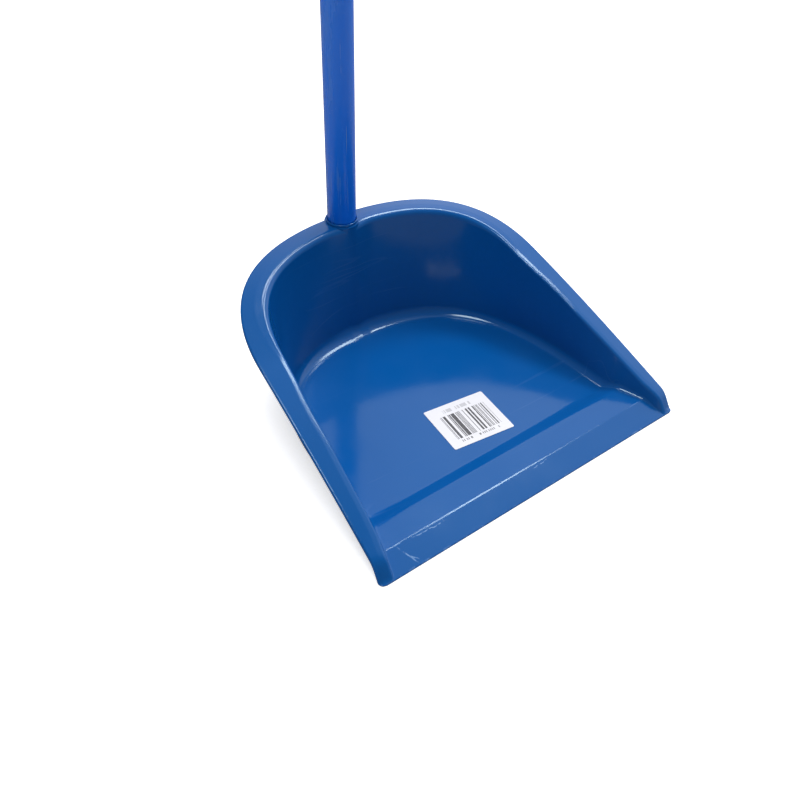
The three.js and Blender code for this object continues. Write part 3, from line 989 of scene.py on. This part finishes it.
def socket_solids(s, socket):
    """The socket tube, its collar and its web, and the bore that is cut through them."""
    bore_r = FILM_RADIUS + socket.gap
    socket_r = bore_r + socket.wall
    collar_r = bore_r + socket.collar_wall
    funnel_r = bore_r + 0.6 * MM
    ground, rim = PAN_LOW.z, PAN_LOW.z + s.floor_thick + s.rim_top - s.rim_slope / 2
    tube_top, collar_low, top = rim - 1.0 * MM, rim - 2.5 * MM, rim + socket.collar_rise
    stop = PLUG_LOW.z - socket.gap
    segments = 96
    tube = turned("socket_tube", trace([
        (0.0, ground), (socket_r, ground, 1.0 * MM, 3), (socket_r, tube_top), (0.0, tube_top),
    ]), segments, closed=False)
    collar = turned("socket_collar", trace([
        (0.0, collar_low), (collar_r - 0.2 * MM, collar_low), (collar_r, top, 0.62 * MM, 6),
        (bore_r - 1.0 * MM, top), (0.0, top),
    ]), segments, closed=False)
    bore = turned("socket_bore", [
        (0.0, stop), (bore_r, stop), (bore_r, top - 0.45 * MM), (funnel_r, top + 0.15 * MM),
        (funnel_r, top + 3 * MM), (0.0, top + 3 * MM),
    ], segments, closed=False)
    return [tube, collar, socket_web(s, socket, bore_r)], [bore]


def socket_web(s, socket, bore_r):
    """The upright web between the back wall and the socket."""
    high = s.rim_top - 4 * MM
    in_socket = HANDLE_AXIS.y - PAN_LOW.y - bore_r - socket.wall / 2

    def in_wall(z):
        edge = s.rim_back - s.rim_back_width
        return mix(s.foot_back, edge, z / s.rim_top) + s.wall_thick / 2

    low_edge, high_edge = in_wall(socket.web_low), min(in_wall(high), in_socket - 0.2 * MM)
    outline = [
        (low_edge, socket.web_low), (in_socket, socket.web_low), (in_socket, high),
        (high_edge, high),
    ]
    bm = bmesh.new()
    start = -socket.web_thick / 2
    verts = [bm.verts.new(to_frame(s, Vector((start, y, z)))) for y, z in outline]
    pull_faces(bm, [bm.faces.new(verts)], (socket.web_thick, 0, 0))
    return finish_mesh(bm, "socket_web")


def pan_shell(s, boss):
    """The moulded shell: every cut of the pan, pulled row by row from one front end to the other."""
    stations = right_hand_stations(s, boss)
    right = [placed_section(s, station, 1) for station in stations]
    left = [placed_section(s, station, -1) for station in reversed(stations[:-1])]
    cuts = right + left
    rows = [[cut[j] for cut in cuts] for j in range(len(cuts[0]))]
    bm = bmesh.new()
    loft(bm, rows)
    weld(bm)
    bmesh.ops.dissolve_degenerate(bm, dist=TINY_EDGE, edges=bm.edges)
    front = [e for e in bm.edges if e.is_boundary]
    ends = bmesh.ops.contextual_create(bm, geom=front)["faces"]
    round_edges(bm, [e for face in ends for e in face.edges], s.front_round, 2)
    return finish_mesh(bm, "pan_moulding")


class DUSTPAN_OT_pan(bpy.types.Operator):
    """Build the moulded pan with its rim, lip, noses, socket and collar"""

    bl_idname = "dustpan.pan"
    bl_label = "Moulded Pan"

    def execute(self, context):
        s, socket = context.scene.dustpan_pan, context.scene.dustpan_socket
        additions, cuts = socket_solids(s, socket)
        boss = (FILM_RADIUS + socket.gap + socket.wall, HANDLE_AXIS.y - PAN_LOW.y)
        shell = pan_shell(s, boss)
        pan = join_solids(shell, additions, cuts)
        dress(pan, moulded_blue(context.scene.dustpan_finish, s), "pan_body", "pan_plastic", "pan")
        return {"FINISHED"}


class DUSTPAN_OT_label(bpy.types.Operator):
    """Build the printed paper label on the pan's floor"""

    bl_idname = "dustpan.label"
    bl_label = "Printed Label"

    def execute(self, context):
        label, finish = context.scene.dustpan_label, context.scene.dustpan_finish
        thick = LABEL_HIGH.z - LABEL_LOW.z
        half_x, half_y = label.wide / 2, label.deep / 2
        bm = bmesh.new()
        corners = [(-half_x, -half_y), (half_x, -half_y), (half_x, half_y), (-half_x, half_y)]
        sheet = trace([(x, y, label.corner, 5) for x, y in corners])
        face = bm.faces.new([bm.verts.new((p.x, p.y, -thick / 2)) for p in sheet])
        pull_faces(bm, [face], (0, 0, thick))
        bmesh.ops.rotate(
            bm, verts=bm.verts, cent=(0, 0, 0), matrix=Matrix.Rotation(label.turned, 3, "Z")
        )
        bmesh.ops.translate(bm, verts=bm.verts, vec=LABEL_MIDDLE)
        piece = finish_mesh(bm, "printed_label")
        dress(piece, printed_paper(finish, label), "pan_body", "label_paper", "print_label")
        return {"FINISHED"}


class DUSTPAN_OT_handle(bpy.types.Operator):
    """Build the film round the handle's tube, finish the tube and build its plug"""

    bl_idname = "dustpan.handle"
    bl_label = "Handle Tube, Film and Plug"

    def execute(self, context):
        sizes, finish = context.scene.dustpan_handle, context.scene.dustpan_finish
        outer, inner = FILM_RADIUS, FILM_RADIUS - sizes.film_thick
        film = turned("film_sleeve", [
            (inner, FILM_LOW.z), (outer - 0.1 * MM, FILM_LOW.z), (outer, FILM_LOW.z + 0.2 * MM),
            (outer, FILM_HIGH.z - 0.2 * MM), (outer - 0.1 * MM, FILM_HIGH.z),
            (inner, FILM_HIGH.z),
        ], sizes.segments)
        dress(film, handle_film(finish), "handle", "handle_film", "handle_film")
        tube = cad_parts["handle_tube"]
        tube.data.materials.clear()
        tube.data.materials.append(rolled_steel(finish))
        dress(self.plug(sizes), plug_black(finish), "handle", "plug_plastic", "tube_plug")
        return {"FINISHED"}

    def plug(self, sizes):
        low, head, top = PLUG_LOW.z, PLUG_LOW.z + sizes.plug_head, PLUG_HIGH.z
        stem = TUBE_RADIUS - sizes.tube_wall - FIT_GAP
        hollow = stem - 2.0 * MM
        profile = trace([
            (0.0, low), (FILM_RADIUS, low, 0.9 * MM, 4), (FILM_RADIUS, head, 0.3 * MM, 2),
            (stem, head), (stem, head + 3 * MM, 0.3 * MM, 2), (stem - 0.6 * MM, top, 0.4 * MM, 2),
            (hollow, top, 0.4 * MM, 2), (hollow, head, 0.6 * MM, 3), (0.0, head),
        ])
        return turned("end_plug", profile, sizes.segments, closed=False)


class DUSTPAN_OT_cap(bpy.types.Operator):
    """Build the handle's top cap with its hanging eye"""

    bl_idname = "dustpan.cap"
    bl_label = "Hanging Cap"

    def execute(self, context):
        sizes, finish = context.scene.dustpan_handle, context.scene.dustpan_finish
        inner, outer = TUBE_RADIUS + FIT_GAP, CAP_RADIUS
        low, top = CAP_LOW.z, TUBE_HIGH.z + FIT_GAP
        sleeve = turned("cap_sleeve", trace([
            (inner, low), (outer - 0.5 * MM, low, 0.3 * MM, 2),
            (outer, low + 1.0 * MM, 0.5 * MM, 2), (outer, top + 2.6 * MM, 2.2 * MM, 8),
            (0.0, top + 3.0 * MM), (0.0, top), (inner, top), (inner, low),
        ]), sizes.segments, closed=False)
        cap = join_solids(sleeve, [self.head(sizes, outer, top + 1.0 * MM)], [])
        cap.name = "hanging_eye_cap"
        dress(cap, cap_blue(finish), "handle", "cap_plastic", "hanging_cap")
        return {"FINISHED"}

    def head(self, sizes, outer, base):
        """A flat tapering head with a round top and a round eye, its edges rounded."""
        crown = outer * 0.8
        eye_z = CAP_HIGH.z - crown
        steps = 48
        front = -sizes.head_thick / 2
        bm = bmesh.new()
        rim, eye = [], []
        for i in range(steps):
            angle = math.tau * i / steps - math.pi / 2
            x, z = math.cos(angle), math.sin(angle)
            rim_x, rim_z = x * crown, eye_z + z * crown
            if z < 0:
                rim_x, rim_z = self.tapered(x, z, crown, outer, eye_z, base)
            rim.append(bm.verts.new((rim_x, front, rim_z)))
            eye_place = (x * sizes.eye_radius, front, eye_z + z * sizes.eye_radius)
            eye.append(bm.verts.new(eye_place))
        loops = []
        for ring in (rim, eye):
            loops += [bm.edges.new((a, b)) for a, b in zip(ring, ring[1:] + ring[:1])]
        faces = bmesh.ops.bridge_loops(bm, edges=loops)["faces"]
        pull_faces(bm, faces, (0, sizes.head_thick, 0))
        bmesh.ops.recalc_face_normals(bm, faces=bm.faces)
        sharp = [e for e in bm.edges if e.calc_face_angle(0.0) > math.radians(60)]
        round_edges(bm, sharp, 1.2 * MM, 4)
        bmesh.ops.translate(bm, verts=bm.verts, vec=(HANDLE_AXIS.x, HANDLE_AXIS.y, 0.0))
        return finish_mesh(bm, "cap_head")

    def tapered(self, x, z, crown, outer, eye_z, base):
        """A point of the head's lower part: straight sides that widen down to the sleeve."""
        drop = eye_z - base
        if abs(x) * drop > abs(z) * outer:
            down = abs(z) / max(abs(x), TINY) * crown
            t = clamp01(down / drop)
            return math.copysign(mix(crown, outer, t), x), eye_z - t * drop
        return x / max(abs(z), TINY) * outer, base


class DUSTPAN_OT_stage(bpy.types.Operator):
    """Build the pale floor, the lights and the camera"""

    bl_idname = "dustpan.stage"
    bl_label = "Stage"

    def execute(self, context):
        stage, finish = context.scene.dustpan_stage, context.scene.dustpan_finish
        self.floor(finish)
        self.surround(context.scene, stage)
        self.softbox("strip", "RECTANGLE", (1.05, 0.3, 1.9), 0.9, 0.4, stage.strip)
        self.softbox("overhead", "ELLIPSE", (-0.5, -0.05, 2.15), 0.8, 0.8, stage.overhead)
        self.softbox("side", "RECTANGLE", (0.5, 0.84, 1.85), 0.35, 0.35, stage.side)
        self.camera(context.scene, stage)
        context.scene.view_settings.view_transform = "Standard"
        return {"FINISHED"}

    def floor(self, finish):
        bm = bmesh.new()
        bmesh.ops.create_grid(bm, x_segments=8, y_segments=8, size=FLOOR_HALF)
        bmesh.ops.translate(bm, verts=bm.verts, vec=(0.0, 0.0, CAD_LOW.z - FLOOR_GAP))
        floor = finish_mesh(bm, "stage_floor")
        floor.data.materials.append(pale_floor(finish))

    def surround(self, scene, stage):
        """A surround that brightens towards the right."""
        world = bpy.data.worlds.new("pale_surround")
        scene.world = world
        world.use_nodes = True
        w = Wiring(world.node_tree)
        place = w.tree.nodes.new("ShaderNodeTexCoord").outputs["Generated"]
        toward = w.tree.nodes.new("ShaderNodeVectorMath")
        toward.operation = "DOT_PRODUCT"
        w.put(toward.inputs[0], place)
        toward.inputs[1].default_value = BRIGHT_SIDE
        level = w.remap(toward.outputs["Value"], 0.4, 1.0, stage.sky_low, stage.sky_high)
        background = w.tree.nodes["Background"]
        background.inputs["Color"].default_value = (1.0, 1.0, 1.0, 1.0)
        seen = w.tree.nodes.new("ShaderNodeLightPath").outputs["Is Camera Ray"]
        w.put(background.inputs["Strength"], w.most(level, seen))

    def softbox(self, name, shape, place, wide, deep, power):
        light = bpy.data.lights.new(name, "AREA")
        light.shape = shape
        light.size, light.size_y = wide, deep
        light.energy = power
        lamp = bpy.data.objects.new(name, light)
        bpy.context.scene.collection.objects.link(lamp)
        lamp.location = place
        aim = LIT_POINT - lamp.location
        lamp.rotation_euler = aim.to_track_quat("-Z", "Y").to_euler()

    def camera(self, scene, stage):
        data = bpy.data.cameras.new("camera")
        data.lens = stage.lens
        data.clip_start = 0.01
        camera = bpy.data.objects.new("camera", data)
        scene.collection.objects.link(camera)
        a, e = stage.azimuth, stage.elevation
        back = Vector((math.sin(a) * math.cos(e), -math.cos(a) * math.cos(e), math.sin(e)))
        floor = PAN_LOW.z + scene.dustpan_pan.floor_thick
        aim = Vector((stage.aim_side, PAN_LOW.y + stage.aim_back, floor + stage.aim_up))
        camera.location = aim + back * stage.distance
        level = back.to_track_quat("Z", "Y")
        roll = Matrix.Rotation(stage.roll, 3, "Z").to_quaternion()
        camera.rotation_euler = (level @ roll).to_euler()
        scene.camera = camera


class DUSTPAN_PT_panel(bpy.types.Panel):
    """The dustpan's pieces and sizes"""

    bl_idname = "DUSTPAN_PT_panel"
    bl_label = "Dustpan"
    bl_space_type = "VIEW_3D"
    bl_region_type = "UI"
    bl_category = "Dustpan"

    def draw(self, context):
        for operator in OPERATORS:
            self.layout.operator(operator.bl_idname)
        for name, group in SETTINGS.items():
            box = self.layout.box()
            box.label(text=group.__name__)
            for prop in group.__annotations__:
                box.prop(getattr(context.scene, name), prop)


SETTINGS = {
    "dustpan_pan": PanSizes,
    "dustpan_socket": SocketSizes,
    "dustpan_handle": HandleSizes,
    "dustpan_label": LabelSizes,
    "dustpan_finish": Finish,
    "dustpan_stage": StageSettings,
}
OPERATORS = (
    DUSTPAN_OT_pan, DUSTPAN_OT_label, DUSTPAN_OT_handle, DUSTPAN_OT_cap, DUSTPAN_OT_stage
)


def register():
    for group in SETTINGS.values():
        bpy.utils.register_class(group)
    for cls in (*OPERATORS, DUSTPAN_PT_panel):
        bpy.utils.register_class(cls)
    for name, group in SETTINGS.items():
        setattr(bpy.types.Scene, name, PointerProperty(type=group))


def unregister():
    for name in SETTINGS:
        delattr(bpy.types.Scene, name)
    for cls in (*OPERATORS, DUSTPAN_PT_panel, *SETTINGS.values()):
        bpy.utils.unregister_class(cls)


def main():
    register()
    bpy.ops.dustpan.stage()
    bpy.ops.dustpan.pan()
    bpy.ops.dustpan.label()
    bpy.ops.dustpan.handle()
    bpy.ops.dustpan.cap()


if __name__ == "__main__":
    main()
